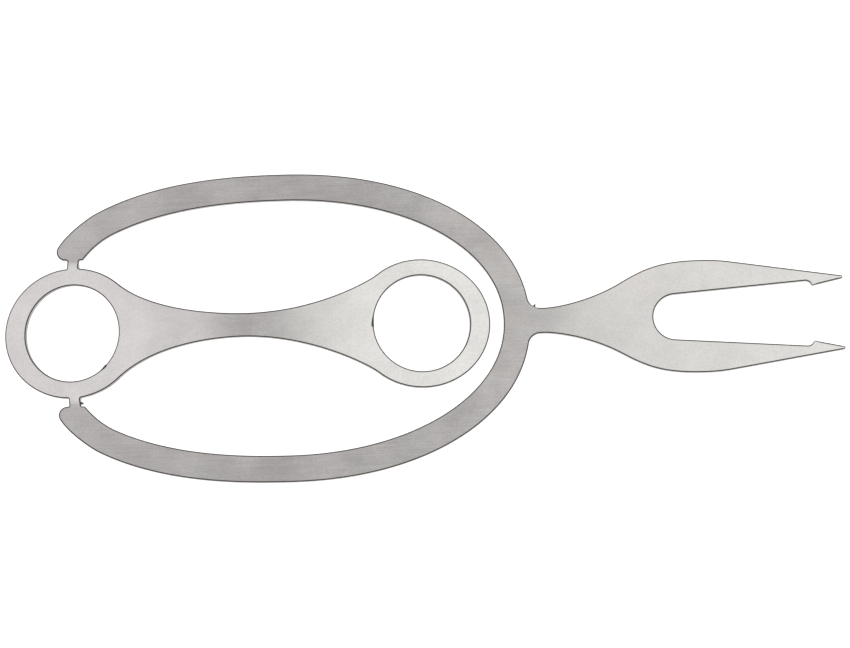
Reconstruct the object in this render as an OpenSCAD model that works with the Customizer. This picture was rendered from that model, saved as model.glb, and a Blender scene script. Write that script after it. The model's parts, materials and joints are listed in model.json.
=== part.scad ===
// Divot repair tool: one spring-steel sheet, 0.8 mm thick, cut to outline and
// formed. An oval bow carries a two-pronged fork on a neck. A tongue with a ring
// at each end hangs inside the bow on two short twisted tabs, tilts up out of
// the bow's plane, and acts as a clip against it.
//
// +X runs towards the fork tips and +Z is up. The part lies as it rests on a
// table: on the rim of the rear ring and on both fork tips. The origin is the
// middle of its footprint, on the table.
//
// Outlines are written in the sheet's own frame, with X = 0 and Y = 0 at the
// centre of the rear ring's hole, and seated() puts them in the part's frame.

/* [Sheet] */
// Thickness of the sheet
sheet_t = 0.8; // [0.6:0.1:1.0]

/* [Bow] */
// Where the bow is widest, ahead of the rear hole
bow_mid_x = 28; // [27.5:0.1:28.5]
// Half length of the outer oval towards the fork
bow_front = 31.9; // [31.7:0.1:32.4]
// Half length of the outer oval towards the rear
bow_rear = 34.7; // [34.5:0.1:35]
// Half width of the outer oval
bow_half_w = 20.4; // [20:0.1:21]
// Width of the bow's band at its sides
band_w = 3.5; // [3.2:0.1:3.8]
// Width of the bow's band at its crown, where the neck leaves it
crown_w = 3.45; // [3.2:0.05:3.6]

/* [Neck] */
// Half width of the neck at its narrowest
neck_half_w = 1.67; // [1.4:0.01:2]
// Distance from the middle line at which the fillets between bow and neck leave the bow
neck_fillet_y = 3; // [2.7:0.1:3.4]

/* [Fork] */
// Distance from the rear hole to the fork tips
tip_x = 101; // [100:0.5:104]
// Half width of the fork at its widest
fork_half_w = 7.45; // [7.3:0.05:7.8]
// Half distance between the two tips
tip_half_gap = 4.7; // [4.6:0.05:4.8]
// Radius at each tip
tip_r = 0.2; // [0.15:0.05:0.3]
// Radius of the slot's round root
slot_r = 3; // [2.7:0.05:3.1]
// Slope of the slot's sides
slot_flare = 4.6; // [4:0.1:5]
// Half gap between the points of the barbs
barb_half_gap = 3.65; // [3.5:0.05:3.7]

/* [Tongue] */
// Radius of the holes in both rings
hole_r = 6.35; // [6:0.05:6.6]
// Distance between the two holes, seen from above
hole_gap = 45.7; // [45.4:0.1:46]
// Half length of each ring's outline, seen from above
ring_half_l = 8.95; // [8.85:0.05:9.05]
// Half width of the rear ring's outline
rear_ring_half_w = 8.6; // [8.5:0.05:8.65]
// Half width of the front ring's outline
front_ring_half_w = 8.5; // [8.4:0.05:8.65]
// Half width of the waist at its narrowest
waist_half_w = 1.56; // [1.2:0.02:2]
// Upward tilt of the rear ring
rear_tilt = 12; // [11:0.5:13]
// Downward tilt of the front ring
front_tilt = 6.9; // [6.5:0.1:7.5]

/* [Hinge tabs] */
// Width of each tab
tab_w = 1.5; // [1.3:0.05:1.6]
// Offset of the tabs ahead of the rear hole's centre
tab_x = 0.2; // [0:0.1:0.4]

/* [Hidden] */

// Facets in each round stretch of an outline
oval_n = 48;
curve_n = 16;
corner_n = 8;
$fn = 96;

// Seams between the regions of the sheet
arm_seam_x = 59.3;
fork_seam_x = 70;
bend_start_x = 9;
bend_end_x = 27;
front_seam_x = 36;

// The bow's band: exponents of its ovals, and how each rear end is cut
outer_front_power = 2.12;
outer_rear_power = 2.36;
inner_front_power = 2.06;
inner_rear_power = 2.3;
inner_rear = bow_rear - 2.95;
inner_rear_x = 5.5;
inner_rear_pull = [1.64, 1.61];
bow_end = [1.48, 9.7];
bow_end_slope = 1.3;
bow_corner_r = 1.12;
bow_corner = [-0.82, bow_end[1] + bow_corner_r];
bow_corner_turn = 148;
outer_rear_x = 2.9;
outer_rear_pull = [2.5, 0.2];

// The fork: where it is narrowest and widest, and where its edges turn straight
neck_x = 61.8;
flare = [72, 4.81];
flare_slope = 0.58;
fork_mid_x = 82.5;
shoulder = [87, 7.05];
shoulder_slope = -0.155;
slot_x = 79.05;
barb_x = 96.93;
notch_r = 0.87;
notch_turn = 15;

// The tabs: the stubs left on ring and bow, each ending square at a tab's face
stub_r = 0.2;
tab_inner_y = 8.75;
tab_outer_y = bow_end[1] - stub_r;
tab_slices = 6;

// The pip left on the neck's left fillet, where the blank was snapped out of its sheet
pip_w = 0.4;
pip_h = 0.4;
pip_turn = 241;

// Flanks of the waist: where each leaves its ring, and how far it is pulled
waist_x = 22.5;
rear_flank_x = 6.07;
rear_flank_pull = [5.03, 2.3];
front_flank_x = 5.77;
front_flank_pull = [9.14, 1.06];

// The bend in the waist is an arc that meets both tilted planes
bend_r = (bend_end_x - bend_start_x) / (sin(rear_tilt) + sin(front_tilt));
bend_start = [bend_start_x, (bend_start_x - tab_x) * tan(rear_tilt)];
bend_centre = bend_start + bend_r * [sin(rear_tilt), -cos(rear_tilt)];
bend_end = bend_centre + bend_r * [sin(front_tilt), cos(front_tilt)];
rear_z = -tab_x * tan(rear_tilt);
front_z = bend_end[1] - (hole_gap - bend_end[0]) * tan(front_tilt);

// How the part lies: the lean that puts ring rim and fork tips on the table
ring_reach = ring_half_l / cos(rear_tilt);
rim_mid = [-ring_half_l, rear_z - ring_reach * sin(rear_tilt)];
rim_low = rim_mid + sheet_t / 2 * [sin(rear_tilt), -cos(rear_tilt)];
rim_high = rim_mid - sheet_t / 2 * [sin(rear_tilt), -cos(rear_tilt)];
lean = atan2(-sheet_t / 2 - rim_low[1], tip_x - rim_low[0]);
rest_z = tip_x * sin(lean) + sheet_t / 2 * cos(lean);
front_x = tip_x * cos(lean) + sheet_t / 2 * sin(lean);
rear_x = rim_high[0] * cos(lean) + rim_high[1] * sin(lean);
middle_x = (front_x + rear_x) / 2;
far = 200;

function arc(centre, r, from, to, n) =
    [for (i = [0:n]) let (a = from + (to - from) * i / n) centre + r * [cos(a), sin(a)]];

// A quarter of an oval |x/a|^p + |y/b|^p = 1 about [cx, 0], side = 1 ahead, -1 behind
function oval(cx, a, b, p, side, from, to, n) =
    [for (i = [0:n]) let (t = from + (to - from) * i / n)
        [cx + side * a * pow(cos(t), 2 / p), b * pow(sin(t), 2 / p)]];

// The rear half of an oval at x: its parameter, its point and its slope
function oval_at(x, a, p) = acos(pow((bow_mid_x - x) / a, p / 2));
function oval_point(x, a, b, p) = [x, b * pow(1 - pow((bow_mid_x - x) / a, p), 1 / p)];
function oval_slope(x, a, b, p) =
    b / a * pow((bow_mid_x - x) / a * b / oval_point(x, a, b, p)[1], p - 1);

function bezier(p0, p1, p2, p3, n) =
    [for (i = [0:n]) let (t = i / n, s = 1 - t)
        s * s * s * p0 + 3 * s * s * t * p1 + 3 * s * t * t * p2 + t * t * t * p3];

function mirrored(points) =
    [for (i = [len(points) - 1:-1:0]) [points[i][0], -points[i][1]]];

// A ring's outline as seen from above: half width w at x from its hole, and its slope there
function ring_y(x, w) = w * sqrt(1 - pow(x / ring_half_l, 2));
function ring_slope(x, w) = -pow(w / ring_half_l, 2) * x / ring_y(x, w);
function rim_angle(x) = acos(x / ring_half_l);
function ring_arc(cx, w, from, to, n) =
    [for (i = [0:n]) let (a = from + (to - from) * i / n) [cx + ring_half_l * cos(a), w * sin(a)]];

// Left half of the bow, neck and fork, from the crown's inner edge round to the slot's root
function bow_inner_edge() = let (a = bow_front - crown_w, b = bow_half_w - band_w)
    concat(
        oval(bow_mid_x, a, b, inner_front_power, 1, 0, 90, oval_n),
        oval(bow_mid_x, inner_rear, b, inner_rear_power, -1, 90,
             oval_at(inner_rear_x, inner_rear, inner_rear_power), oval_n),
        bow_inner_end(oval_point(inner_rear_x, inner_rear, b, inner_rear_power),
                      [1, oval_slope(inner_rear_x, inner_rear, b, inner_rear_power)]));

// The band's rear end: each oval turns steeper, then meets the square cut or its round corner
function bow_inner_end(from, slope) =
    bezier(from, from - inner_rear_pull[0] * slope,
           bow_end + inner_rear_pull[1] * [cos(atan(bow_end_slope)), sin(atan(bow_end_slope))],
           bow_end, curve_n);
function bow_outer_end(to, slope) =
    let (turn = bow_corner_turn,
         from = bow_corner + bow_corner_r * [cos(turn), sin(turn)])
    bezier(from, from + outer_rear_pull[0] * [sin(turn), -cos(turn)],
           to - outer_rear_pull[1] * slope, to, curve_n);

function bow_end_edge() = concat(
    arc([tab_x + tab_w / 2 + stub_r, tab_outer_y], stub_r, 90, 180, corner_n),
    arc([tab_x - tab_w / 2 - stub_r, tab_outer_y], stub_r, 0, 90, corner_n),
    arc(bow_corner, bow_corner_r, 270, bow_corner_turn, corner_n),
    bow_outer_end(oval_point(outer_rear_x, bow_rear, bow_half_w, outer_rear_power),
                  [1, oval_slope(outer_rear_x, bow_rear, bow_half_w, outer_rear_power)]));

// The outer oval stops where the neck's fillet leaves it. The fillet touches the oval and the neck's side.
function fillet_angle() = asin(pow(neck_fillet_y / bow_half_w, outer_front_power / 2));
function fillet_start() =
    [bow_mid_x + bow_front * pow(cos(fillet_angle()), 2 / outer_front_power), neck_fillet_y];
function fillet_normal() = let (
        n = [pow((fillet_start()[0] - bow_mid_x) / bow_front, outer_front_power - 1) / bow_front,
             pow(neck_fillet_y / bow_half_w, outer_front_power - 1) / bow_half_w])
    n / norm(n);
function fillet_r() = (neck_fillet_y - neck_half_w) / (1 - fillet_normal()[1]);
function fillet_centre() = fillet_start() + fillet_r() * fillet_normal();
function on_fillet(turn) = fillet_centre() + fillet_r() * [cos(turn), sin(turn)];

function bow_outer_edge() = concat(
    oval(bow_mid_x, bow_rear, bow_half_w, outer_rear_power, -1,
         oval_at(outer_rear_x, bow_rear, outer_rear_power), 90, oval_n),
    oval(bow_mid_x, bow_front, bow_half_w, outer_front_power, 1, 90, fillet_angle(), oval_n));

function neck_edge() = concat(
    arc(fillet_centre(), fillet_r(), 180 + atan2(fillet_normal()[1], fillet_normal()[0]), 270, corner_n),
    bezier([neck_x, neck_half_w], [neck_x + 1, neck_half_w],
           flare - 4.58 * [1, flare_slope], flare, curve_n),
    bezier(flare, flare + 3.46 * [1, flare_slope],
           [fork_mid_x - 4.73, fork_half_w], [fork_mid_x, fork_half_w], curve_n),
    bezier([fork_mid_x, fork_half_w], [fork_mid_x + 2, fork_half_w],
           shoulder - 1.5 * [1, shoulder_slope], shoulder, corner_n));

function tine_edge() = let (notch = [barb_x, barb_half_gap] - notch_r * [cos(notch_turn), sin(notch_turn)])
    concat(
        arc([tip_x - tip_r, tip_half_gap], tip_r, 81, -77, corner_n),
        arc(notch, notch_r, notch_turn, 90 + slot_flare, corner_n),
        arc([slot_x, 0], slot_r, 90 + slot_flare, 180, corner_n));

function frame_half() =
    concat(bow_inner_edge(), bow_end_edge(), bow_outer_edge(), neck_edge(), tine_edge());

// The rear ring's stub for a tab: its sides seen from above, and where they meet the rim
function stub_edge() = let (half_w = tab_w / 2 * cos(rear_tilt))
    concat(
        arc([tab_x - half_w - stub_r, tab_inner_y], stub_r, 270, 360, corner_n),
        arc([tab_x + half_w + stub_r, tab_inner_y], stub_r, 180, 270, corner_n));

// Left half of the tongue as seen from above, from the rear ring's rim to the front ring's
function tongue_half() = let (
        stub_reach = tab_w / 2 + 2 * stub_r,
        front_leave_x = hole_gap - front_flank_x,
        rear_leave = [rear_flank_x, ring_y(rear_flank_x, rear_ring_half_w)],
        rear_slope = ring_slope(rear_flank_x, rear_ring_half_w),
        front_leave = [front_leave_x, ring_y(front_flank_x, front_ring_half_w)],
        front_slope = -ring_slope(front_flank_x, front_ring_half_w),
        waist = [waist_x, waist_half_w])
    concat(
        ring_arc(0, rear_ring_half_w, 180, rim_angle(tab_x - stub_reach), oval_n / 2),
        stub_edge(),
        ring_arc(0, rear_ring_half_w, rim_angle(tab_x + stub_reach), rim_angle(rear_flank_x), corner_n),
        bezier(rear_leave, rear_leave + rear_flank_pull[0] * [1, rear_slope],
               waist - [rear_flank_pull[1], 0], waist, curve_n),
        bezier(waist, waist + [front_flank_pull[0], 0],
               front_leave - front_flank_pull[1] * [1, front_slope], front_leave, curve_n),
        ring_arc(hole_gap, front_ring_half_w, 180 - rim_angle(front_flank_x), 0, oval_n));

// Outline points from above, taken into a plane tilted about the given hole
function in_plane(points, cx, tilt) = [for (p = points) [(p[0] - cx) / cos(tilt), p[1]]];

module seated() {
    translate([-middle_x, 0, rest_z]) rotate([0, lean, 0]) children();
}

// A triangular pip standing on an edge that faces +Y
module pip() {
    polygon([[-pip_w / 2, -pip_h], [pip_w / 2, -pip_h], [0, pip_h]]);
}

// Both halves of bow, neck and fork between two values of X
module frame_region(from_x, to_x) {
    linear_extrude(height = sheet_t, center = true)
        intersection() {
            union() {
                polygon(frame_half());
                polygon(mirrored(frame_half()));
            }
            translate([from_x, -far / 2]) square([to_x - from_x, far]);
        }
}

module bow_arm() {
    linear_extrude(height = sheet_t, center = true)
        intersection() {
            polygon(frame_half());
            translate([-far, 0]) square([far + arm_seam_x, far]);
        }
}

module fork() {
    color("gainsboro") seated() frame_region(fork_seam_x, far);
}

module neck() {
    color("silver") seated() {
        frame_region(arm_seam_x, fork_seam_x);
        translate(on_fillet(pip_turn)) rotate(pip_turn - 270)
            linear_extrude(height = sheet_t, center = true) pip();
    }
}

module left_bow_arm() {
    color("darkgray") seated() bow_arm();
}

module right_bow_arm() {
    color("darkgray") seated() mirror([0, 1, 0]) bow_arm();
}

// The tab turns from the rear ring's tilt to the bow's plane along its length
module hinge_tab() {
    translate([tab_x, tab_inner_y, 0]) rotate([-90, 0, 0])
        linear_extrude(height = tab_outer_y - tab_inner_y, twist = -rear_tilt, slices = tab_slices,
                       $fn = tab_slices)
            rotate(-rear_tilt) square([tab_w, sheet_t], center = true);
}

module left_hinge_tab() {
    color("silver") seated() hinge_tab();
}

module right_hinge_tab() {
    color("silver") seated() mirror([0, 1, 0]) hinge_tab();
}

// The flat part of the tongue around one hole, clipped to its own side of a seam
module flat_ring(cx, z, tilt, clip_x, side) {
    outline = in_plane(concat(tongue_half(), mirrored(tongue_half())), cx, tilt);
    clip = (clip_x - cx) / cos(tilt);
    translate([cx, 0, z]) rotate([0, -tilt, 0]) difference() {
        linear_extrude(height = sheet_t, center = true) intersection() {
            polygon(outline);
            translate([side > 0 ? clip : clip - far, -far / 2]) square(far);
        }
        cylinder(h = 3 * sheet_t, r = hole_r, center = true);
    }
}

module rear_ring() {
    color("lightgray") seated() flat_ring(0, rear_z, rear_tilt, bend_start_x, -1);
}

module front_ring() {
    color("gainsboro") seated() flat_ring(hole_gap, front_z, -front_tilt, front_seam_x, 1);
}

// The sheet's section along the waist: an arc, then a straight run to the front seam
module waist_section() {
    half_t = sheet_t / 2;
    seam = [front_seam_x, bend_end[1] - (front_seam_x - bend_end[0]) * tan(front_tilt)];
    normal = [sin(front_tilt), cos(front_tilt)];
    polygon(concat(
        arc(bend_centre, bend_r + half_t, 90 + rear_tilt, 90 - front_tilt, curve_n),
        [seam + half_t * normal, seam - half_t * normal],
        arc(bend_centre, bend_r - half_t, 90 - front_tilt, 90 + rear_tilt, curve_n)));
}

module tongue_waist() {
    color("lightgray") seated() intersection() {
        translate([0, far / 2, 0]) rotate([90, 0, 0])
            linear_extrude(height = far) waist_section();
        linear_extrude(height = far, center = true)
            polygon(concat(tongue_half(), mirrored(tongue_half())));
    }
}

fork();
neck();
left_bow_arm();
right_bow_arm();
left_hinge_tab();
right_hinge_tab();
rear_ring();
tongue_waist();
front_ring();
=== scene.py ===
import json
import math

import bmesh
import bpy
import numpy as np
from mathutils import Matrix, Vector
from mathutils.geometry import delaunay_2d_cdt


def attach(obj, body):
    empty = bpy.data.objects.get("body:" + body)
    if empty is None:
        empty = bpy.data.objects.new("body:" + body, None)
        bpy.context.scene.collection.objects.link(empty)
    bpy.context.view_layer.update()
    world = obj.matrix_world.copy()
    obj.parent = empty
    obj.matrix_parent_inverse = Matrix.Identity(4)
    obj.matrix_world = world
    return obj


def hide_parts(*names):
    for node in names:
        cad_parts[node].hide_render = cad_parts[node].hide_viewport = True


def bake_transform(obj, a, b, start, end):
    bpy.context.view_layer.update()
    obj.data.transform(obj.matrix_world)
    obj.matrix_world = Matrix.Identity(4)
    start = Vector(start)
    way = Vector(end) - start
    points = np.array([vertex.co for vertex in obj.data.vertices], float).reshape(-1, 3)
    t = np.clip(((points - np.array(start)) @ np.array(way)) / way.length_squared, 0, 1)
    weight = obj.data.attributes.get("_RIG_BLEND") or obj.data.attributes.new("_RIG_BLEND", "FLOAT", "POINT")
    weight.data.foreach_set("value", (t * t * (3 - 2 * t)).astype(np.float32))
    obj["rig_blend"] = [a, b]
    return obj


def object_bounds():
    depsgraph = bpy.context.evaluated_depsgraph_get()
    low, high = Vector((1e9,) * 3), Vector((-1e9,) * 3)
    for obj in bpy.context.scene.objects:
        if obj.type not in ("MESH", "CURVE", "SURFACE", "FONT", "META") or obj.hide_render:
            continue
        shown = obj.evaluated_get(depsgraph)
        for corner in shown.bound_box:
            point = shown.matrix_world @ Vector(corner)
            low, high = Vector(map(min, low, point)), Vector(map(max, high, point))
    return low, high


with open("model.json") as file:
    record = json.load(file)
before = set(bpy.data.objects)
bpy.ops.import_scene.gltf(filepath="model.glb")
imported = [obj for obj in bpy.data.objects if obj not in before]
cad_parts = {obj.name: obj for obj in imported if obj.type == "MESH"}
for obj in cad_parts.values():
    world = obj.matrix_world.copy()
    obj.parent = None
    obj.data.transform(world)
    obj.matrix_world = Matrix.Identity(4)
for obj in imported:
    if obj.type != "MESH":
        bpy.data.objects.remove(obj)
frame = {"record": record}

CAD_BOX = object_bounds()
MM = 0.001
# Closer than this, two points count as one, in millimetres
SAME_SPOT = 1e-5


# ---------------------------------------------------------------------------
# The sheet's own frame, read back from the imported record. Lengths below are in
# millimetres, with X = 0 and Y = 0 at the centre of the rear ring's hole and
# Z = 0 in the middle of the bow's thickness.
# ---------------------------------------------------------------------------

MOUNTS = {m["name"]: m for m in frame["record"]["mounts"]}
REAR = MOUNTS["rear_ring_bore"]
FRONT = MOUNTS["front_ring_bore"]

SHEET_T = REAR["dims"]["length_mm"]
HOLE_R = REAR["dims"]["r_mm"]


def leans_by(axis):
    """Angle by which a face's upward normal leans back from +Z, towards -X."""
    return math.atan2(-axis[0], axis[2])


LEAN = -leans_by([-value for value in MOUNTS["fork_face"]["axis"]])
REAR_TILT = leans_by(REAR["axis"]) + LEAN
FRONT_TILT = -leans_by(FRONT["axis"]) - LEAN
SEAT = Matrix.Rotation(LEAN, 3, "Y")
# The tabs' middle, where the tilted rear ring meets the bow's plane
TAB_X = 0.2
REAR_Z = -TAB_X * math.tan(REAR_TILT)
ORIGIN = Vector(REAR["pos_m"]) / MM - SEAT @ Vector((0, 0, REAR_Z))


def in_sheet(point):
    """A point of the row frame, in metres, taken into the sheet's own frame."""
    return SEAT.transposed() @ (Vector(point) / MM - ORIGIN)


def in_row(point):
    """A point of the sheet's own frame taken into the row frame, in metres."""
    return (SEAT @ Vector(point) + ORIGIN) * MM


HOLE_GAP = in_sheet(FRONT["pos_m"]).x
TIP_X = (CAD_BOX[1][0] / MM - ORIGIN.x - SHEET_T / 2 * math.sin(LEAN)) / math.cos(LEAN)
BOW_HALF_W = CAD_BOX[1][1] / MM

# Seams between the regions, which the real sheet doesn't have. One more is where the bend starts
ARM_SEAM_X = 59.3
FORK_SEAM_X = 70
FRONT_SEAM_X = 36
# The tongue's bend
BEND_START_X = 9
BEND_END_X = 27

# The bow. A pull, here and below, is how far a curve's handle reaches
BOW_MID_X = 28
BOW_FRONT = 31.9
BOW_REAR = 34.7
BAND_W = 3.5
CROWN_W = 3.45
REAR_W = 2.95
INNER_FRONT = BOW_FRONT - CROWN_W
INNER_REAR = BOW_REAR - REAR_W
INNER_HALF_W = BOW_HALF_W - BAND_W
# How square each quarter of the bow's outline is: 2 would be an ellipse
INNER_FRONT_POWER = 2.06
INNER_REAR_POWER = 2.3
OUTER_REAR_POWER = 2.36
OUTER_FRONT_POWER = 2.12
INNER_REAR_X = 5.5
INNER_REAR_PULL = (1.64, 1.61)
BOW_END = np.array([1.48, 9.7])
BOW_END_SLOPE = 1.3
BOW_CORNER_R = 1.12
BOW_CORNER = np.array([-0.82, BOW_END[1] + BOW_CORNER_R])
BOW_CORNER_TURN = 148
OUTER_REAR_X = 2.9
OUTER_REAR_PULL = (2.5, 0.2)

# The neck and the fork
NECK_X = 61.8
NECK_HALF_W = 1.67
NECK_FILLET_Y = 3
NECK_PULL = 1
FLARE = np.array([72, 4.81])
FLARE_SLOPE = 0.58
FLARE_PULL = (4.58, 3.46)
FORK_MID_X = 82.5
FORK_HALF_W = 7.45
FORK_MID_PULL = (4.73, 2)
SHOULDER = np.array([87, 7.05])
SHOULDER_SLOPE = -0.155
SHOULDER_PULL = 1.5
TIP_R = 0.2
TIP_TURN = (81, -77)
TIP_HALF_GAP = 4.7
SLOT_X = 79.05
SLOT_R = 3
SLOT_FLARE = 4.6
BARB = np.array([96.93, 3.65])
NOTCH_R = 0.87
NOTCH_TURN = 15

# The tongue
RING_HALF_L = 8.95
REAR_RING_HALF_W = 8.6
FRONT_RING_HALF_W = 8.5
WAIST_X = 22.5
WAIST_HALF_W = 1.56
REAR_FLANK_X = 6.07
REAR_FLANK_PULL = (5.03, 2.3)
FRONT_FLANK_X = 5.77
FRONT_FLANK_PULL = (9.14, 1.06)

# The tabs
TAB_W = 1.5
STUB_R = 0.2
STUB_LEFT = 0.9
TAB_INNER_Y = 8.75
TAB_OUTER_Y = BOW_END[1] - STUB_R

# Marks of the laser: the softened edge, its burnt line and the share of it that is fully dark, how dark
# the wall is, the pips, and where the laser came into each hole
EDGE_R = 0.085
BURN_W = 0.085
FULL_BURN = 0.6
WALL_BURN = 0.5
PIP_HALF_W = 0.22
PIP_H = 0.4
NECK_PIP = np.array([60.45, 1.87])
TAB_PIP_Y = 9.27
# (angle, half its length, how far it stands into the hole, how far it is burnt)
REAR_MARK = (math.radians(-49), 0.6, 0.1, 0.25)
FRONT_MARK = (math.radians(177), 0.85, 0.05, 0.26)
# A mark thins out towards one end and stops short at the other
MARK_ALONG = (-1, 0.2, 0.8, 1)
MARK_SHARE = (0, 0.75, 1, 0)

# The floor lies this far under the tool, which clears the front ring when it is pressed down
FLOOR_DROP = 3.5
# The floor's width, in metres
FLOOR_SIZE = 6
# The studio's radiance at each height of view, from 0 at floor level to 1 overhead
WORLD_TONES = ((0, 0.35), (0.45, 0.85), (0.8, 0.58))
WORLD_TINT = (1, 0.96, 0.957)
# Strips of light overhead, in metres: where each begins and ends along X, and its radiance and colour.
# They don't overlap
GREENISH = (0.985, 1, 0.965)
PINKISH = (1, 0.972, 0.982)
STRIPS = {
    "right_strip": (0.07, 0.18, 0.57, GREENISH),
    "far_right_strip": (0.18, 0.8, 0.80, GREENISH),
    "left_strip": (-0.5, -0.125, 0.46, PINKISH),
    "far_left_strip": (-0.95, -0.5, 0.59, PINKISH),
}
STRIP_LENGTH = 0.9
STRIP_Y = 0.17
STRIP_HEIGHT = 1

# Spacing of the points on an outline, and of those inside the frame's and the tongue's faces
EDGE_GAP = 0.45
FRAME_GAP = 1.5
TONGUE_GAP = 1.1
# A corner sharper than this is rounded, starting so far away from it
SHARP_TURN = math.radians(28)
FRAME_ROUNDING = 0.16
TONGUE_ROUNDING = 0.1

# Slopes that the light shows: the tongue's curve is longer than its bend, and the fork lifts a little
SHINE_X = (BEND_START_X, 17, 24, 33, 39)
SHINE_SLOPES = (REAR_TILT, math.radians(3.7), math.radians(-1.7), math.radians(-4.4), -FRONT_TILT)
FORK_SHINE = math.radians(1.55)


# ---------------------------------------------------------------------------
# Outlines. Each is a closed loop of points with the steel on its left.
# ---------------------------------------------------------------------------

def arc(centre, radius, start, stop, steps):
    """Points on an arc, with angles in degrees."""
    angles = np.radians(np.linspace(start, stop, steps + 1))
    return np.asarray(centre) + radius * np.stack([np.cos(angles), np.sin(angles)], 1)


def oval(a, b, power, side, start, stop, steps):
    """Part of a quarter of |x/a|^p + |y/b|^p = 1 about the bow's middle."""
    angles = np.radians(np.linspace(start, stop, steps + 1))
    x = BOW_MID_X + side * a * np.clip(np.cos(angles), 0, 1) ** (2 / power)
    return np.stack([x, b * np.clip(np.sin(angles), 0, 1) ** (2 / power)], 1)


def oval_at(x, a, power):
    """The angle, in degrees, at which the rear half of an oval reaches x."""
    return math.degrees(math.acos(((BOW_MID_X - x) / a) ** (power / 2)))


def oval_spot(x, a, b, power):
    """Point on the rear half of an oval, and the direction towards +X there."""
    reach = (BOW_MID_X - x) / a
    height = (1 - reach ** power) ** (1 / power)
    return np.array([x, b * height]), np.array([1, b / a * (reach / height) ** (power - 1)])


def bezier(p0, p1, p2, p3, steps):
    """Points on a cubic curve from p0 to p3 with the handles p1 and p2."""
    t = np.linspace(0, 1, steps + 1)[:, None]
    s = 1 - t
    p0, p1, p2, p3 = (np.asarray(p, float) for p in (p0, p1, p2, p3))
    return s ** 3 * p0 + 3 * s * s * t * p1 + 3 * s * t * t * p2 + t ** 3 * p3


def evenly(points, gap):
    """The same line with points no further apart than gap."""
    out = [points[0]]
    for a, b in zip(points[:-1], points[1:]):
        steps = max(1, math.ceil(np.linalg.norm(b - a) / gap))
        out.extend(a + (b - a) * k / steps for k in range(1, steps + 1))
    return np.array(out)


def outline(half):
    """The closed outline made of half and its mirror image, with the steel on its left."""
    loop = np.concatenate([half, mirrored(half)])
    loop = loop[np.linalg.norm(loop - np.roll(loop, 1, 0), axis=1) > SAME_SPOT]
    x, y = loop.T
    area = (x * np.roll(y, -1) - np.roll(x, -1) * y).sum()
    return loop if area > 0 else loop[::-1]


def mirrored(points):
    """The points' mirror image across the tool's length, in the opposite order."""
    return points[::-1] * [1, -1]


def bow_end():
    """The band's rear end, from the inner oval round the tab's stub and the corner to the outer oval.

    The stub runs on past its seam, where it is cut off later.
    """
    reach = TAB_W / 2 + STUB_R
    past = TAB_OUTER_Y - STUB_LEFT
    inner, inner_slope = oval_spot(INNER_REAR_X, INNER_REAR, INNER_HALF_W, INNER_REAR_POWER)
    outer, outer_slope = oval_spot(OUTER_REAR_X, BOW_REAR, BOW_HALF_W, OUTER_REAR_POWER)
    steep = np.array([1, BOW_END_SLOPE]) / math.hypot(1, BOW_END_SLOPE)
    turn = math.radians(BOW_CORNER_TURN)
    start = BOW_CORNER + BOW_CORNER_R * np.array([math.cos(turn), math.sin(turn)])
    along = np.array([math.sin(turn), -math.cos(turn)])
    return [
        bezier(inner, inner - INNER_REAR_PULL[0] * inner_slope,
               BOW_END + INNER_REAR_PULL[1] * steep, BOW_END, 30),
        arc([TAB_X + reach, TAB_OUTER_Y], STUB_R, 90, 180, 8),
        [[TAB_X + TAB_W / 2, past], [TAB_X - TAB_W / 2, past]],
        arc([TAB_X - reach, TAB_OUTER_Y], STUB_R, 0, 90, 8),
        arc(BOW_CORNER, BOW_CORNER_R, 270, BOW_CORNER_TURN, 20),
        bezier(start, start + OUTER_REAR_PULL[0] * along,
               outer - OUTER_REAR_PULL[1] * outer_slope, outer, 30),
    ]


def neck_fillet(leave):
    """Centre and radius of the fillet that touches the bow's outer oval and the neck's side.

    The third value is the direction, in degrees, in which the oval faces where the fillet leaves it.
    """
    power = OUTER_FRONT_POWER
    reach = math.cos(leave) ** (2 / power)
    normal = np.array([reach ** (power - 1) / BOW_FRONT,
                       (NECK_FILLET_Y / BOW_HALF_W) ** (power - 1) / BOW_HALF_W])
    normal /= np.linalg.norm(normal)
    radius = (NECK_FILLET_Y - NECK_HALF_W) / (1 - normal[1])
    centre = np.array([BOW_MID_X + BOW_FRONT * reach, NECK_FILLET_Y]) + radius * normal
    return centre, radius, math.degrees(math.atan2(normal[1], normal[0]))


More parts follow.
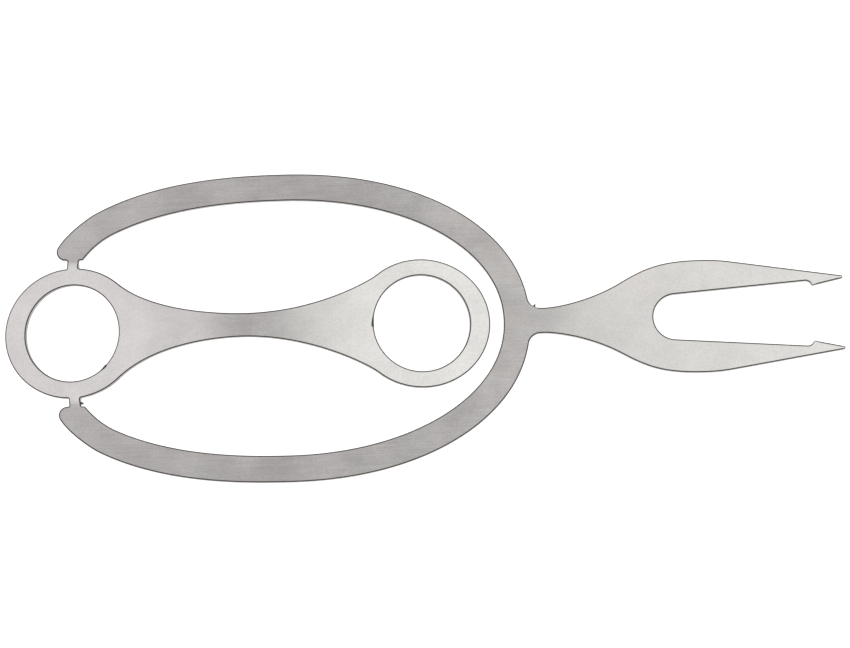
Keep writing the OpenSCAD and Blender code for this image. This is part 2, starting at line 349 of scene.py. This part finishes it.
def frame_half():
    """Left half of bow, neck and fork, from the crown's inner edge to the slot's root."""
    leave = math.asin((NECK_FILLET_Y / BOW_HALF_W) ** (OUTER_FRONT_POWER / 2))
    centre, radius, facing = neck_fillet(leave)
    neck = np.array([NECK_X, NECK_HALF_W])
    widest = np.array([FORK_MID_X, FORK_HALF_W])
    flare = np.array([1, FLARE_SLOPE])
    shoulder = np.array([1, SHOULDER_SLOPE])
    turn = math.radians(NOTCH_TURN)
    notch = BARB - NOTCH_R * np.array([math.cos(turn), math.sin(turn)])
    return np.concatenate([
        oval(INNER_FRONT, INNER_HALF_W, INNER_FRONT_POWER, 1, 0, 90, 110),
        oval(INNER_REAR, INNER_HALF_W, INNER_REAR_POWER, -1, 90,
             oval_at(INNER_REAR_X, INNER_REAR, INNER_REAR_POWER), 90),
        *bow_end(),
        oval(BOW_REAR, BOW_HALF_W, OUTER_REAR_POWER, -1,
             oval_at(OUTER_REAR_X, BOW_REAR, OUTER_REAR_POWER), 90, 110),
        oval(BOW_FRONT, BOW_HALF_W, OUTER_FRONT_POWER, 1, 90, math.degrees(leave), 110),
        arc(centre, radius, 180 + facing, 270, 48),
        bezier(neck, neck + [NECK_PULL, 0], FLARE - FLARE_PULL[0] * flare, FLARE, 30),
        bezier(FLARE, FLARE + FLARE_PULL[1] * flare, widest - [FORK_MID_PULL[0], 0], widest, 30),
        bezier(widest, widest + [FORK_MID_PULL[1], 0], SHOULDER - SHOULDER_PULL * shoulder, SHOULDER, 12),
        arc([TIP_X - TIP_R, TIP_HALF_GAP], TIP_R, *TIP_TURN, 12),
        arc(notch, NOTCH_R, NOTCH_TURN, 90 + SLOT_FLARE, 12),
        arc([SLOT_X, 0], SLOT_R, 90 + SLOT_FLARE, 180, 24),
    ])


def ring_y(x, half_w):
    """Half the ring's width at a distance x from its centre."""
    return half_w * math.sqrt(1 - (x / RING_HALF_L) ** 2)


def ring_slope(x, half_w):
    """Slope of the ring's rim there."""
    return -(half_w / RING_HALF_L) ** 2 * x / ring_y(x, half_w)


def ring_arc(cx, half_w, start, stop, steps):
    """Points on a ring's rim, which is slightly oval, with angles in radians."""
    angles = np.linspace(start, stop, steps + 1)
    return np.stack([cx + RING_HALF_L * np.cos(angles), half_w * np.sin(angles)], 1)


def tongue_half():
    """Left half of the tongue seen from above, from rear rim to front rim.

    The tab's stub runs on past its seam, where it is cut off later.
    """
    rear = np.array([REAR_FLANK_X, ring_y(REAR_FLANK_X, REAR_RING_HALF_W)])
    front = np.array([HOLE_GAP - FRONT_FLANK_X, ring_y(FRONT_FLANK_X, FRONT_RING_HALF_W)])
    rear_pull = REAR_FLANK_PULL[0] * np.array([1, ring_slope(REAR_FLANK_X, REAR_RING_HALF_W)])
    front_pull = FRONT_FLANK_PULL[1] * np.array([1, -ring_slope(FRONT_FLANK_X, FRONT_RING_HALF_W)])
    waist = np.array([WAIST_X, WAIST_HALF_W])
    half_tab = TAB_W / 2 * math.cos(REAR_TILT)
    reach = TAB_W / 2 + 2 * STUB_R
    past = TAB_INNER_Y + STUB_LEFT
    rim_at = [math.acos(x / RING_HALF_L) for x in (TAB_X - reach, TAB_X + reach, REAR_FLANK_X)]
    return np.concatenate([
        ring_arc(0, REAR_RING_HALF_W, math.pi, rim_at[0], 50),
        arc([TAB_X - half_tab - STUB_R, TAB_INNER_Y], STUB_R, 270, 360, 8),
        [[TAB_X - half_tab, past], [TAB_X + half_tab, past]],
        arc([TAB_X + half_tab + STUB_R, TAB_INNER_Y], STUB_R, 180, 270, 8),
        ring_arc(0, REAR_RING_HALF_W, rim_at[1], rim_at[2], 24),
        bezier(rear, rear + rear_pull, waist - [REAR_FLANK_PULL[1], 0], waist, 60),
        bezier(waist, waist + [FRONT_FLANK_PULL[0], 0], front - front_pull, front, 60),
        ring_arc(HOLE_GAP, FRONT_RING_HALF_W, math.pi - math.acos(FRONT_FLANK_X / RING_HALF_L), 0, 70),
    ])


# ---------------------------------------------------------------------------
# The tongue's bend. Flat outlines use u, the length along the sheet, for X.
# ---------------------------------------------------------------------------

BEND_R = (BEND_END_X - BEND_START_X) / (math.sin(REAR_TILT) + math.sin(FRONT_TILT))
BEND_START = np.array([BEND_START_X, (BEND_START_X - TAB_X) * math.tan(REAR_TILT)])
BEND_CENTRE = BEND_START + BEND_R * np.array([math.sin(REAR_TILT), -math.cos(REAR_TILT)])
BEND_END = BEND_CENTRE + BEND_R * np.array([math.sin(FRONT_TILT), math.cos(FRONT_TILT)])
BEND_START_U = BEND_START_X / math.cos(REAR_TILT)
BEND_END_U = BEND_START_U + BEND_R * (REAR_TILT + FRONT_TILT)


def length_at(x):
    """Length along the tongue, from the rear hole, at a distance x seen from above."""
    if x <= BEND_START_X:
        return x / math.cos(REAR_TILT)
    if x >= BEND_END_X:
        return BEND_END_U + (x - BEND_END_X) / math.cos(FRONT_TILT)
    return BEND_START_U + BEND_R * (REAR_TILT - math.asin((BEND_CENTRE[0] - x) / BEND_R))


def tongue_place(u):
    """Middle of the sheet and its slope, in the XZ plane, at a length u along the tongue."""
    if u <= BEND_START_U:
        point = BEND_START + (u - BEND_START_U) * np.array([math.cos(REAR_TILT), math.sin(REAR_TILT)])
        return point, REAR_TILT
    if u >= BEND_END_U:
        point = BEND_END + (u - BEND_END_U) * np.array([math.cos(FRONT_TILT), -math.sin(FRONT_TILT)])
        return point, -FRONT_TILT
    slope = REAR_TILT - (u - BEND_START_U) / BEND_R
    return BEND_CENTRE + BEND_R * np.array([-math.sin(slope), math.cos(slope)]), slope


def bent(point):
    """Places a point (u, y, height) of the flat tongue, and gives the turn that its shine follows."""
    middle, slope = tongue_place(point[0])
    place = Vector((middle[0] - point[2] * math.sin(slope), point[1],
                    middle[1] + point[2] * math.cos(slope)))
    return place, Matrix.Rotation(-np.interp(middle[0], SHINE_X, SHINE_SLOPES), 3, "Y")


def smooth(share):
    """Goes from 0 to 1 as the share does, with a gentle start and end."""
    return share * share * (3 - 2 * share)


def flat(point):
    """The bow's plane is the sheet's own frame. Only the shine turns, from the crown to the fork."""
    share = min(max((point[0] - ARM_SEAM_X) / (FLARE[0] - ARM_SEAM_X), 0), 1)
    return Vector(point), Matrix.Rotation(FORK_SHINE * smooth(share), 3, "Y")


# ---------------------------------------------------------------------------
# Sheet steel as a mesh: two faces, a softened edge and a cut wall between them
# ---------------------------------------------------------------------------

def soften_corners(loop, reach):
    """Replaces each sharp corner by a short curve that starts reach away on both sides."""
    swallowed = 1.15 * reach
    before = loop - np.roll(loop, 1, 0)
    after = np.roll(loop, -1, 0) - loop
    turn = np.abs(np.angle((after[:, 0] + 1j * after[:, 1]) / (before[:, 0] + 1j * before[:, 1])))
    corners = np.where(turn > SHARP_TURN)[0]
    keep = np.ones(len(loop), bool)
    inserts = {}
    for c in corners:
        p = loop[c]
        near = np.linalg.norm(loop - p, axis=1) < swallowed
        keep &= ~near
        a = p - before[c] / np.linalg.norm(before[c]) * reach
        b = p + after[c] / np.linalg.norm(after[c]) * reach
        t = np.linspace(0, 1, 9)[:, None]
        inserts[c] = (1 - t) ** 2 * a + 2 * t * (1 - t) * p + t * t * b
    out = []
    for i, p in enumerate(loop):
        if i in inserts:
            out.extend(inserts[i])
        elif keep[i]:
            out.append(p)
    return np.array(out)


def edge_normals(loop):
    """Unit normals that point out of the steel, and the stretch that a mitre needs."""
    longest_mitre = 2
    d = np.roll(loop, -1, 0) - loop
    d /= np.linalg.norm(d, axis=1)[:, None]
    n = np.stack([d[:, 1], -d[:, 0]], 1)
    both = n + np.roll(n, 1, 0)
    unit = both / np.linalg.norm(both, axis=1)[:, None]
    return unit, 1 / np.clip((unit * n).sum(1), 1 / longest_mitre, 1)


def edge_widths(loop):
    """Width of the edge's softening and burnt line at each point.

    It is less where the outline turns tightly, so that the lines inside the edge never cross.
    """
    share_of_radius, least, most_change, passes = 0.6, 0.02, 0.13, 60
    d = np.roll(loop, -1, 0) - loop
    heading = d[:, 0] + 1j * d[:, 1]
    turn = np.angle(heading / np.roll(heading, 1))
    length = np.abs(heading)
    span = (length + np.roll(length, 1)) / 2
    widths = np.clip(share_of_radius * span / np.maximum(turn, 1e-6), least, EDGE_R + BURN_W)
    for _ in range(passes):
        widths = np.minimum(widths, np.roll(widths, 1) + most_change * np.roll(length, 1))
        widths = np.minimum(widths, np.roll(widths, -1) + most_change * length)
    return widths


def even_odd(points, loops):
    """Whether each point lies inside the loops, counting crossings."""
    batch = 400
    inside = np.zeros(len(points), bool)
    for loop in loops:
        x1, y1 = loop.T
        x2, y2 = np.roll(loop, -1, 0).T
        for k in range(0, len(points), batch):
            px = points[k:k + batch, 0][:, None]
            py = points[k:k + batch, 1][:, None]
            cross = (y1 > py) != (y2 > py)
            with np.errstate(divide="ignore", invalid="ignore"):
                hit = cross & (px < (x2 - x1) * (py - y1) / (y2 - y1) + x1)
            inside[k:k + batch] ^= hit.sum(1) % 2 == 1
    return inside


def face_points(loops, gap):
    """A staggered grid of points inside the loops and clear of them."""
    row_step, clearance = 0.87 * gap, 0.55 * gap
    everything = np.concatenate(loops)
    low, high = everything.min(0), everything.max(0)
    rows = []
    for j, y in enumerate(np.arange(low[1], high[1], row_step)):
        x = np.arange(low[0] + (j % 2) * gap / 2, high[0], gap)
        rows.append(np.stack([x, np.full(len(x), y)], 1))
    grid = np.concatenate(rows)
    grid = grid[even_odd(grid, loops)]
    clear = np.array([np.min(np.linalg.norm(everything - p, axis=1)) > clearance for p in grid])
    return grid[clear]


def face_triangles(points, loops_index, loops):
    """Triangles that fill the loops, as indices of the given points.

    One whose corners are in line has no area. It lies on an outline's straight stretch and is left out.
    """
    tolerance = 1e-7
    edges = [(ring[k - 1], ring[k]) for ring in loops_index for k in range(len(ring))]
    verts, _, faces, source, _, _ = delaunay_2d_cdt([Vector(p) for p in points], edges, [], 0, tolerance)
    back = [origin[0] for origin in source]
    tri = np.array([f for f in faces if len(f) == 3])
    xy = np.array([v[:] for v in verts])
    middle = xy[tri].mean(1)
    tri = tri[even_odd(middle, loops)]
    a, b, c = xy[tri[:, 0]], xy[tri[:, 1]], xy[tri[:, 2]]
    area = (b[:, 0] - a[:, 0]) * (c[:, 1] - a[:, 1]) - (b[:, 1] - a[:, 1]) * (c[:, 0] - a[:, 0])
    tri[area < 0] = tri[area < 0][:, ::-1]
    longest = np.linalg.norm([b - a, c - b, a - c], axis=2).max(0)
    return [[back[i] for i in t] for t in tri[np.abs(area) > SAME_SPOT * longest]]


# Directions in which the softened edge faces, from the flat face to the cut wall
RIM_TURNS = np.radians([0, 22.5, 45, 67.5, 90])


def burnt(turn):
    """How dark the edge is: fully on its softened corner, less on the wall between."""
    return WALL_BURN if turn == RIM_TURNS[-1] else 1


def sheet_mesh(loops, gap, burns=None, raised=None):
    """A bmesh of sheet steel in its flat state, with layers for the normals and the cut edge.

    burns gives, for each loop, the extra width that the laser has burnt at each point, and raised how
    far a leftover of the cut stands out there.
    """
    bm = bmesh.new()
    normal = bm.verts.layers.float_vector.new("normal")
    cut = bm.verts.layers.float.new("cut")
    cap = bm.faces.layers.int.new("cap")

    def ring_of(loop, height, directions, cutness):
        ring = []
        for xy, z, n in zip(loop, height, directions):
            v = bm.verts.new((xy[0], xy[1], z))
            v[normal] = n
            v[cut] = cutness
            ring.append(v)
        return ring

    tops, bottoms, face_loops = [], [], []
    for k, loop in enumerate(loops):
        n, mitre = edge_normals(loop)
        rim = loop + n * raised[k][:, None] if raised else loop
        rim_n, rim_mitre = edge_normals(rim)
        widths = edge_widths(rim)
        radii = widths * EDGE_R / (EDGE_R + BURN_W)
        burn = widths - radii + (burns[k] if burns else 0)
        levels = []
        for side in (1, -1):
            faces = [(radii + burn, 0), (radii + FULL_BURN * burn, 1)]
            up = np.tile((0, 0, side), (len(loop), 1))
            flats = [ring_of(loop - n * (inset * mitre)[:, None], np.full(len(loop), side * SHEET_T / 2),
                             up, cutness) for inset, cutness in faces]
            rims = []
            for turn in RIM_TURNS:
                inset = radii * (1 - math.sin(turn)) * rim_mitre
                height = side * (SHEET_T / 2 - radii * (1 - math.cos(turn)))
                out = np.column_stack([rim_n * math.sin(turn), np.full(len(loop), side * math.cos(turn))])
                rims.append(ring_of(rim - rim_n * inset[:, None], height, out, burnt(turn)))
            levels += flats + rims if side > 0 else (flats + rims)[::-1]
        for upper, lower in zip(levels[:-1], levels[1:]):
            for i in range(len(loop)):
                bm.faces.new((upper[i - 1], lower[i - 1], lower[i], upper[i]))
        tops.append(levels[0])
        bottoms.append(levels[-1])
        face_loops.append(loop - n * ((radii + burn) * mitre)[:, None])

    inner = face_points(face_loops, gap)
    points = np.concatenate(face_loops + [inner])
    counts = np.cumsum([0] + [len(loop) for loop in face_loops])
    index = [list(range(counts[k], counts[k + 1])) for k in range(len(face_loops))]
    triangles = face_triangles(points, index, face_loops)
    for side, rims in ((1, tops), (-1, bottoms)):
        verts = [v for rim in rims for v in rim]
        up = np.tile((0, 0, side), (len(inner), 1))
        verts += ring_of(inner, np.full(len(inner), side * SHEET_T / 2), up, 0)
        for a, b, c in triangles:
            bm.faces.new([verts[i] for i in ((a, b, c) if side > 0 else (c, b, a))])
    for f in bm.faces:
        f[cap] = 0
    return bm


def clipped(bm, planes):
    """A copy of the sheet cut off at each plane, with closed ends.

    A plane is a point, the direction to remove, and optionally the greatest X that it may touch.
    """
    out = bm.copy()
    cap = out.faces.layers.int["cap"]
    for point, direction, *limit in planes:
        edge_of_reach = limit[0] if limit else math.inf

        def beyond(v):
            return v.co.x < edge_of_reach and (v.co - point).dot(direction) > SAME_SPOT

        faces = [f for f in out.faces if any(beyond(v) for v in f.verts)]
        edges = list(dict.fromkeys(e for f in faces for e in f.edges))
        verts = list(dict.fromkeys(v for f in faces for v in f.verts))
        bmesh.ops.bisect_plane(out, geom=faces + edges + verts, dist=1e-6,
                               plane_co=point, plane_no=direction)
        gone = [v for v in out.verts if beyond(v)]
        bmesh.ops.delete(out, geom=gone, context="VERTS")
        rim = [e for e in out.edges if len(e.link_faces) == 1]
        filled = bmesh.ops.edgenet_fill(out, edges=rim)
        for f in filled["faces"]:
            f[cap] = 1
    return out


def piece(name, bm, place, nodes):
    """Makes the visual piece from a flat bmesh, and places every point.

    It keeps the sheet's own position for the material, and sets the normals that make neighbouring
    pieces read as one sheet.
    """
    normal = bm.verts.layers.float_vector["normal"]
    cut = bm.verts.layers.float["cut"]
    cap = bm.faces.layers.int["cap"]
    bmesh.ops.triangulate(bm, faces=[f for f in bm.faces if len(f.verts) > 4])
    sheet, cutness, directions = [], [], []
    for v in bm.verts:
        sheet.append(v.co[:])
        cutness.append(v[cut])
        spot, turn = place(v.co)
        directions.append((SEAT @ turn @ v[normal]).normalized())
        v.co = in_row(spot)
    bm.normal_update()
    bmesh.ops.recalc_face_normals(bm, faces=bm.faces)
    mesh = bpy.data.meshes.new(name)
    bm.to_mesh(mesh)
    for key, kind, values in (("sheet", "FLOAT_VECTOR", sheet), ("cut_edge", "FLOAT", cutness)):
        attribute = mesh.attributes.new(key, kind, "POINT")
        field = "vector" if kind == "FLOAT_VECTOR" else "value"
        attribute.data.foreach_set(field, np.array(values, np.float32).ravel())
    caps = [f[cap] for f in bm.faces]
    mesh.polygons.foreach_set("use_smooth", [True] * len(mesh.polygons))
    shading = []
    for polygon, is_cap in zip(mesh.polygons, caps):
        for k in polygon.loop_indices:
            shading.append(polygon.normal if is_cap else directions[mesh.loops[k].vertex_index])
    mesh.normals_split_custom_set([tuple(n) for n in shading])
    for key in ("normal", "cut", "cap"):
        if key in mesh.attributes:
            mesh.attributes.remove(mesh.attributes[key])
    mesh.materials.append(STEEL)
    obj = bpy.data.objects.new(name, mesh)
    bpy.context.scene.collection.objects.link(obj)
    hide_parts(*nodes)
    return obj


# ---------------------------------------------------------------------------
# Materials
# ---------------------------------------------------------------------------

class Nodes:
    """Adds nodes to a material's tree, and links them by keyword: i0 is the first input."""

    def __init__(self, name):
        self.material = bpy.data.materials.new(name)
        self.material.use_nodes = True
        self.tree = self.material.node_tree
        self.tree.nodes.clear()

    def add(self, kind, settings=None, **inputs):
        node = self.tree.nodes.new(kind)
        for key, value in (settings or {}).items():
            setattr(node, key, value)
        for key, value in inputs.items():
            by_number = key[0] == "i" and key[1:].isdigit()
            self.fill(node.inputs[int(key[1:]) if by_number else key.replace("_", " ")], value)
        return node

    def fill(self, socket, value):
        """Links the socket if value is another node's output, and sets it otherwise."""
        if isinstance(value, bpy.types.NodeSocket):
            self.tree.links.new(value, socket)
        else:
            socket.default_value = value

    def maths(self, operation, a, b):
        return self.add("ShaderNodeMath", {"operation": operation}, i0=a, i1=b).outputs[0]

    def ramp(self, value, low, high, to_low, to_high):
        """Goes smoothly from to_low to to_high while value goes from low to high."""
        node = self.add("ShaderNodeMapRange", {"interpolation_type": "SMOOTHSTEP"}, Value=value)
        for key, number in (("From Min", low), ("From Max", high), ("To Min", to_low), ("To Max", to_high)):
            node.inputs[key].default_value = number
        return node.outputs[0]

    def mix(self, factor, a, b):
        """Mixes two colours, whose sockets are the mix node's inputs 6 and 7 and its output 2."""
        a, b = (c if isinstance(c, bpy.types.NodeSocket) else (*c, 1) for c in (a, b))
        return self.add("ShaderNodeMix", {"data_type": "RGBA"}, i0=factor, i6=a, i7=b).outputs[2]

    def scaled(self, vector, by):
        return self.add("ShaderNodeVectorMath", {"operation": "MULTIPLY"}, i0=vector, i1=by).outputs[0]

    def noise(self, vector, scale, detail=3.0, roughness=0.5):
        return self.add("ShaderNodeTexNoise", None, Vector=vector, Scale=scale, Detail=detail,
                        Roughness=roughness).outputs[0]


def make_steel():
    """Rolled stainless sheet, satin on its faces and dark at the laser-cut edge."""
    n = Nodes("sheet_steel")
    sheet = n.add("ShaderNodeAttribute", {"attribute_name": "sheet"}).outputs["Vector"]
    cut = n.add("ShaderNodeAttribute", {"attribute_name": "cut_edge"}).outputs["Fac"]

    # Each noise runs over the flat sheet, in millimetres: its stretch, scale, detail and roughness
    clouds = n.noise(n.scaled(sheet, (1, 1.3, 1)), 0.17, 4, 0.6)
    warmth = n.noise(sheet, 0.13, 2)
    grain = n.noise(n.scaled(sheet, (0.12, 5.5, 1)), 1.6, 3, 0.7)
    specks = n.noise(sheet, 3.4, 3, 0.75)
    striae = n.noise(n.scaled(sheet, (9, 9, 0.6)), 2.0, 2)

    pinkish, greenish = (0.592, 0.582, 0.578), (0.586, 0.586, 0.576)
    metal = n.mix(n.ramp(warmth, 0.35, 0.65, 0, 1), pinkish, greenish)
    shade = n.maths("ADD", n.ramp(clouds, 0.3, 0.7, 0.94, 1.045), n.ramp(grain, 0.25, 0.75, -0.03, 0.03))
    shade = n.maths("ADD", shade, n.ramp(specks, 0.3, 0.7, -0.045, 0.045))
    metal = n.scaled(metal, shade)
    edge = n.ramp(cut, 0.12, 0.85, 0, 1)
    dark_oxide, light_oxide = (0.05, 0.047, 0.044), (0.10, 0.094, 0.09)
    oxide = n.mix(n.ramp(striae, 0.3, 0.7, 0, 1), dark_oxide, light_oxide)
    colour = n.mix(edge, metal, oxide)

    rough = n.maths("ADD", n.ramp(clouds, 0.3, 0.7, 0.18, 0.22), n.ramp(grain, 0.25, 0.75, -0.03, 0.03))
    rough = n.maths("ADD", rough, n.maths("MULTIPLY", edge, 0.15))

    grain_depth, speck_depth, striae_depth = 0.0011, 0.0006, 0.01
    height = n.maths("ADD", n.maths("MULTIPLY", grain, grain_depth), n.maths("MULTIPLY", specks, speck_depth))
    height = n.maths("ADD", height, n.maths("MULTIPLY", n.maths("MULTIPLY", striae, edge), striae_depth))
    bump = n.add("ShaderNodeBump", None, Height=height, Strength=0.5, Distance=MM)

    shader = n.add("ShaderNodeBsdfPrincipled", None, Base_Color=colour, Roughness=rough,
                   Normal=bump.outputs[0], Metallic=1.0)
    out = n.add("ShaderNodeOutputMaterial")
    n.tree.links.new(shader.outputs[0], out.inputs[0])
    return n.material


STEEL = make_steel()


# ---------------------------------------------------------------------------
# Pieces
# ---------------------------------------------------------------------------

def marked_hole(cx, mark):
    """A hole's outline with the laser's mark on it, and how much wider it is burnt at each point."""
    angle, half_l, depth, burn = mark
    loop = arc([cx, 0], HOLE_R, 360, 0, 240)[:-1]
    out = (loop - [cx, 0]) / HOLE_R
    along = HOLE_R * np.angle((out[:, 0] + 1j * out[:, 1]) * np.exp(-1j * angle))
    swell = np.interp(along / half_l, MARK_ALONG, MARK_SHARE)
    return loop - out * (depth * swell)[:, None], burn * swell


def pip_height(away):
    """How far a snap-off pip stands proud at a distance from its middle."""
    return PIP_H * np.cos(np.minimum(away / PIP_HALF_W, 1) * math.pi / 2) ** 2


def make_frame():
    """Cuts the flat bow, neck and fork out of one sheet, and parts them at their seams."""
    half = evenly(frame_half(), EDGE_GAP)
    loop = soften_corners(outline(half), FRAME_ROUNDING)
    pip_at = np.argmin(np.linalg.norm(loop - NECK_PIP, axis=1))
    away = np.linalg.norm(loop - loop[pip_at], axis=1)
    whole = sheet_mesh([loop], FRAME_GAP, raised=[pip_height(away)])
    x, y = Vector((1, 0, 0)), Vector((0, 1, 0))
    crown = Vector((ARM_SEAM_X, 0, 0))
    palm = Vector((FORK_SEAM_X, 0, 0))
    stub = Vector((0, TAB_OUTER_Y, 0))
    regions = {
        "fork": [(palm, -x)],
        "neck": [(palm, x), (crown, -x)],
        "left_bow_arm": [(crown, x), (Vector(), -y), (stub, -y, BOW_MID_X)],
        "right_bow_arm": [(crown, x), (Vector(), y), (-stub, y, BOW_MID_X)],
    }
    for node, planes in regions.items():
        obj = piece(node + "_sheet", clipped(whole, planes), flat, [node])
        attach(obj, "frame")


def make_tongue():
    """Cuts the tongue out of one sheet, parts it at its seams and bends it."""
    half = evenly(tongue_half(), EDGE_GAP)
    half = np.array([[length_at(x), y] for x, y in half])
    outer = soften_corners(outline(half), TONGUE_ROUNDING)
    front_u = length_at(HOLE_GAP)
    rear_hole, rear_burn = marked_hole(0, REAR_MARK)
    front_hole, front_burn = marked_hole(front_u, FRONT_MARK)
    whole = sheet_mesh([outer, rear_hole, front_hole], TONGUE_GAP,
                       [np.zeros(len(outer)), rear_burn, front_burn])
    x, y = Vector((1, 0, 0)), Vector((0, 1, 0))
    rear_seam = Vector((BEND_START_U, 0, 0))
    front_seam = Vector((length_at(FRONT_SEAM_X), 0, 0))
    stub = Vector((0, TAB_INNER_Y, 0))
    rear = piece("rear_ring_sheet", clipped(whole, [(rear_seam, x), (stub, y), (-stub, -y)]), bent,
                 ["rear_ring"])
    waist = piece("tongue_waist_sheet", clipped(whole, [(rear_seam, -x), (front_seam, x)]), bent,
                  ["tongue_waist"])
    front = piece("front_ring_sheet", clipped(whole, [(front_seam, -x)]), bent,
                  ["front_ring"])
    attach(rear, "tongue_rear")
    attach(front, "tongue_front")
    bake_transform(waist, "tongue_rear", "tongue_front",
             start=in_row((BEND_START[0], 0, BEND_START[1])), end=in_row((FRONT_SEAM_X, 0, BEND_START[1])))


def tab_section():
    """The tab's section as (x, z), normal and cut, round a rectangle with softened corners."""
    edge = [((TAB_W / 2 - EDGE_R - BURN_W, SHEET_T / 2), (0, 1), 0),
            ((TAB_W / 2 - EDGE_R - FULL_BURN * BURN_W, SHEET_T / 2), (0, 1), 1)]
    for turn in RIM_TURNS:
        n = (math.sin(turn), math.cos(turn))
        edge.append(((TAB_W / 2 - EDGE_R * (1 - n[0]), SHEET_T / 2 - EDGE_R * (1 - n[1])), n, burnt(turn)))
    below = [((x, -z), (nx, -nz), cut) for (x, z), (nx, nz), cut in edge[::-1]]
    right = edge + below
    return right + [((-x, z), (-nx, nz), cut) for (x, z), (nx, nz), cut in right[::-1]]


def make_tab(side, node, pip):
    """A short bridge that turns from the rear ring's tilt to the bow's plane, with or without a pip."""
    bm = bmesh.new()
    normal = bm.verts.layers.float_vector.new("normal")
    cut = bm.verts.layers.float.new("cut")
    cap = bm.faces.layers.int.new("cap")
    steps = 40
    rings = []
    for k in range(steps + 1):
        share = k / steps
        y = TAB_INNER_Y + (TAB_OUTER_Y - TAB_INNER_Y) * share
        tilt = REAR_TILT * (1 - smooth(share))
        bulge = pip_height(abs(y - TAB_PIP_Y)) if pip else 0
        ring = []
        for (x, z), (nx, nz), cutness in tab_section():
            x += bulge if x > TAB_W / 2 - EDGE_R - SAME_SPOT else 0
            v = bm.verts.new((TAB_X + x * math.cos(tilt) - z * math.sin(tilt), side * y,
                              x * math.sin(tilt) + z * math.cos(tilt)))
            v[normal] = (nx * math.cos(tilt) - nz * math.sin(tilt), 0,
                         nx * math.sin(tilt) + nz * math.cos(tilt))
            v[cut] = cutness
            ring.append(v)
        rings.append(ring)
    for a, b in zip(rings[:-1], rings[1:]):
        for i in range(len(a)):
            bm.faces.new((a[i - 1], a[i], b[i], b[i - 1]))[cap] = 0
    for ring in (rings[0], rings[-1]):
        bm.faces.new(ring)[cap] = 1
    obj = piece(node + "_sheet", bm, flat, [node])
    at = in_row((TAB_X, 0, 0))
    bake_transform(obj, "tongue_rear", "frame", start=(at.x, side * TAB_INNER_Y * MM, at.z),
             end=(at.x, side * TAB_OUTER_Y * MM, at.z))


make_frame()
make_tongue()
make_tab(1, "left_hinge_tab", False)
make_tab(-1, "right_hinge_tab", True)


# ---------------------------------------------------------------------------
# Floor, lights and camera
# ---------------------------------------------------------------------------

def make_floor():
    """A pale, faintly mottled floor, a little under the tool."""
    n = Nodes("pale_floor")
    place = n.add("ShaderNodeTexCoord").outputs["Object"]
    tone = n.ramp(n.noise(place, 60, 3), 0.3, 0.7, 0.93, 0.95)
    shader = n.add("ShaderNodeBsdfPrincipled", None, Base_Color=n.scaled((1, 1, 1), tone), Roughness=0.9,
                   Emission_Color=(1, 1, 1, 1), Emission_Strength=0.55)
    out = n.add("ShaderNodeOutputMaterial")
    n.tree.links.new(shader.outputs[0], out.inputs[0])
    bpy.ops.mesh.primitive_plane_add(size=FLOOR_SIZE, location=(0, 0, -FLOOR_DROP * MM))
    floor = bpy.context.object
    floor.name = "floor"
    floor.data.materials.append(n.material)


def make_strip(name, low_x, high_x, radiance, colour):
    """A strip of light overhead, which faces down. Its radiance is what a mirror under it would show."""
    width = high_x - low_x
    light = bpy.data.lights.new(name, "AREA")
    light.shape = "RECTANGLE"
    light.size = width
    light.size_y = STRIP_LENGTH
    light.energy = math.pi * width * STRIP_LENGTH * radiance
    light.color = colour
    obj = bpy.data.objects.new(name, light)
    obj.location = ((low_x + high_x) / 2, STRIP_Y, STRIP_HEIGHT)
    bpy.context.scene.collection.objects.link(obj)


def make_camera():
    """A long lens nearly overhead, a little to the near side, with the tool across the whole frame."""
    away = 562
    elevation = math.radians(80.61)
    roll = math.radians(1.582)
    aim = Vector((46.14, 0, 0))
    # The length of the sheet that fills the frame's width
    span = 111.3
    turn = SEAT @ Matrix.Rotation(math.pi / 2 - elevation, 3, "X") @ Matrix.Rotation(-roll, 3, "Z")
    data = bpy.data.cameras.new("camera")
    data.sensor_width = 36
    data.lens = data.sensor_width * away / span
    camera = bpy.data.objects.new("camera", data)
    camera.location = in_row(aim) + turn.col[2] * away * MM
    camera.rotation_euler = turn.to_euler()
    bpy.context.scene.collection.objects.link(camera)
    bpy.context.scene.camera = camera


def make_world():
    """A grey studio: dim at floor level, brightest a little above it, even overhead."""
    world = bpy.data.worlds.new("studio")
    world.use_nodes = True
    tree = world.node_tree
    direction = tree.nodes.new("ShaderNodeTexCoord")
    height = tree.nodes.new("ShaderNodeSeparateXYZ")
    tone = tree.nodes.new("ShaderNodeValToRGB")
    tree.links.new(direction.outputs["Generated"], height.inputs[0])
    tree.links.new(height.outputs["Z"], tone.inputs[0])
    tree.links.new(tone.outputs[0], tree.nodes["Background"].inputs[0])
    ramp = tone.color_ramp.elements
    for _ in range(len(WORLD_TONES) - len(ramp)):
        ramp.new(1)
    for element, (at, radiance) in zip(ramp, WORLD_TONES):
        element.position = at
        element.color = [radiance * part for part in WORLD_TINT] + [1]
    bpy.context.scene.world = world


make_floor()
for strip_name, strip in STRIPS.items():
    make_strip(strip_name, *strip)
make_camera()
make_world()
bpy.context.scene.view_settings.view_transform = "Standard"
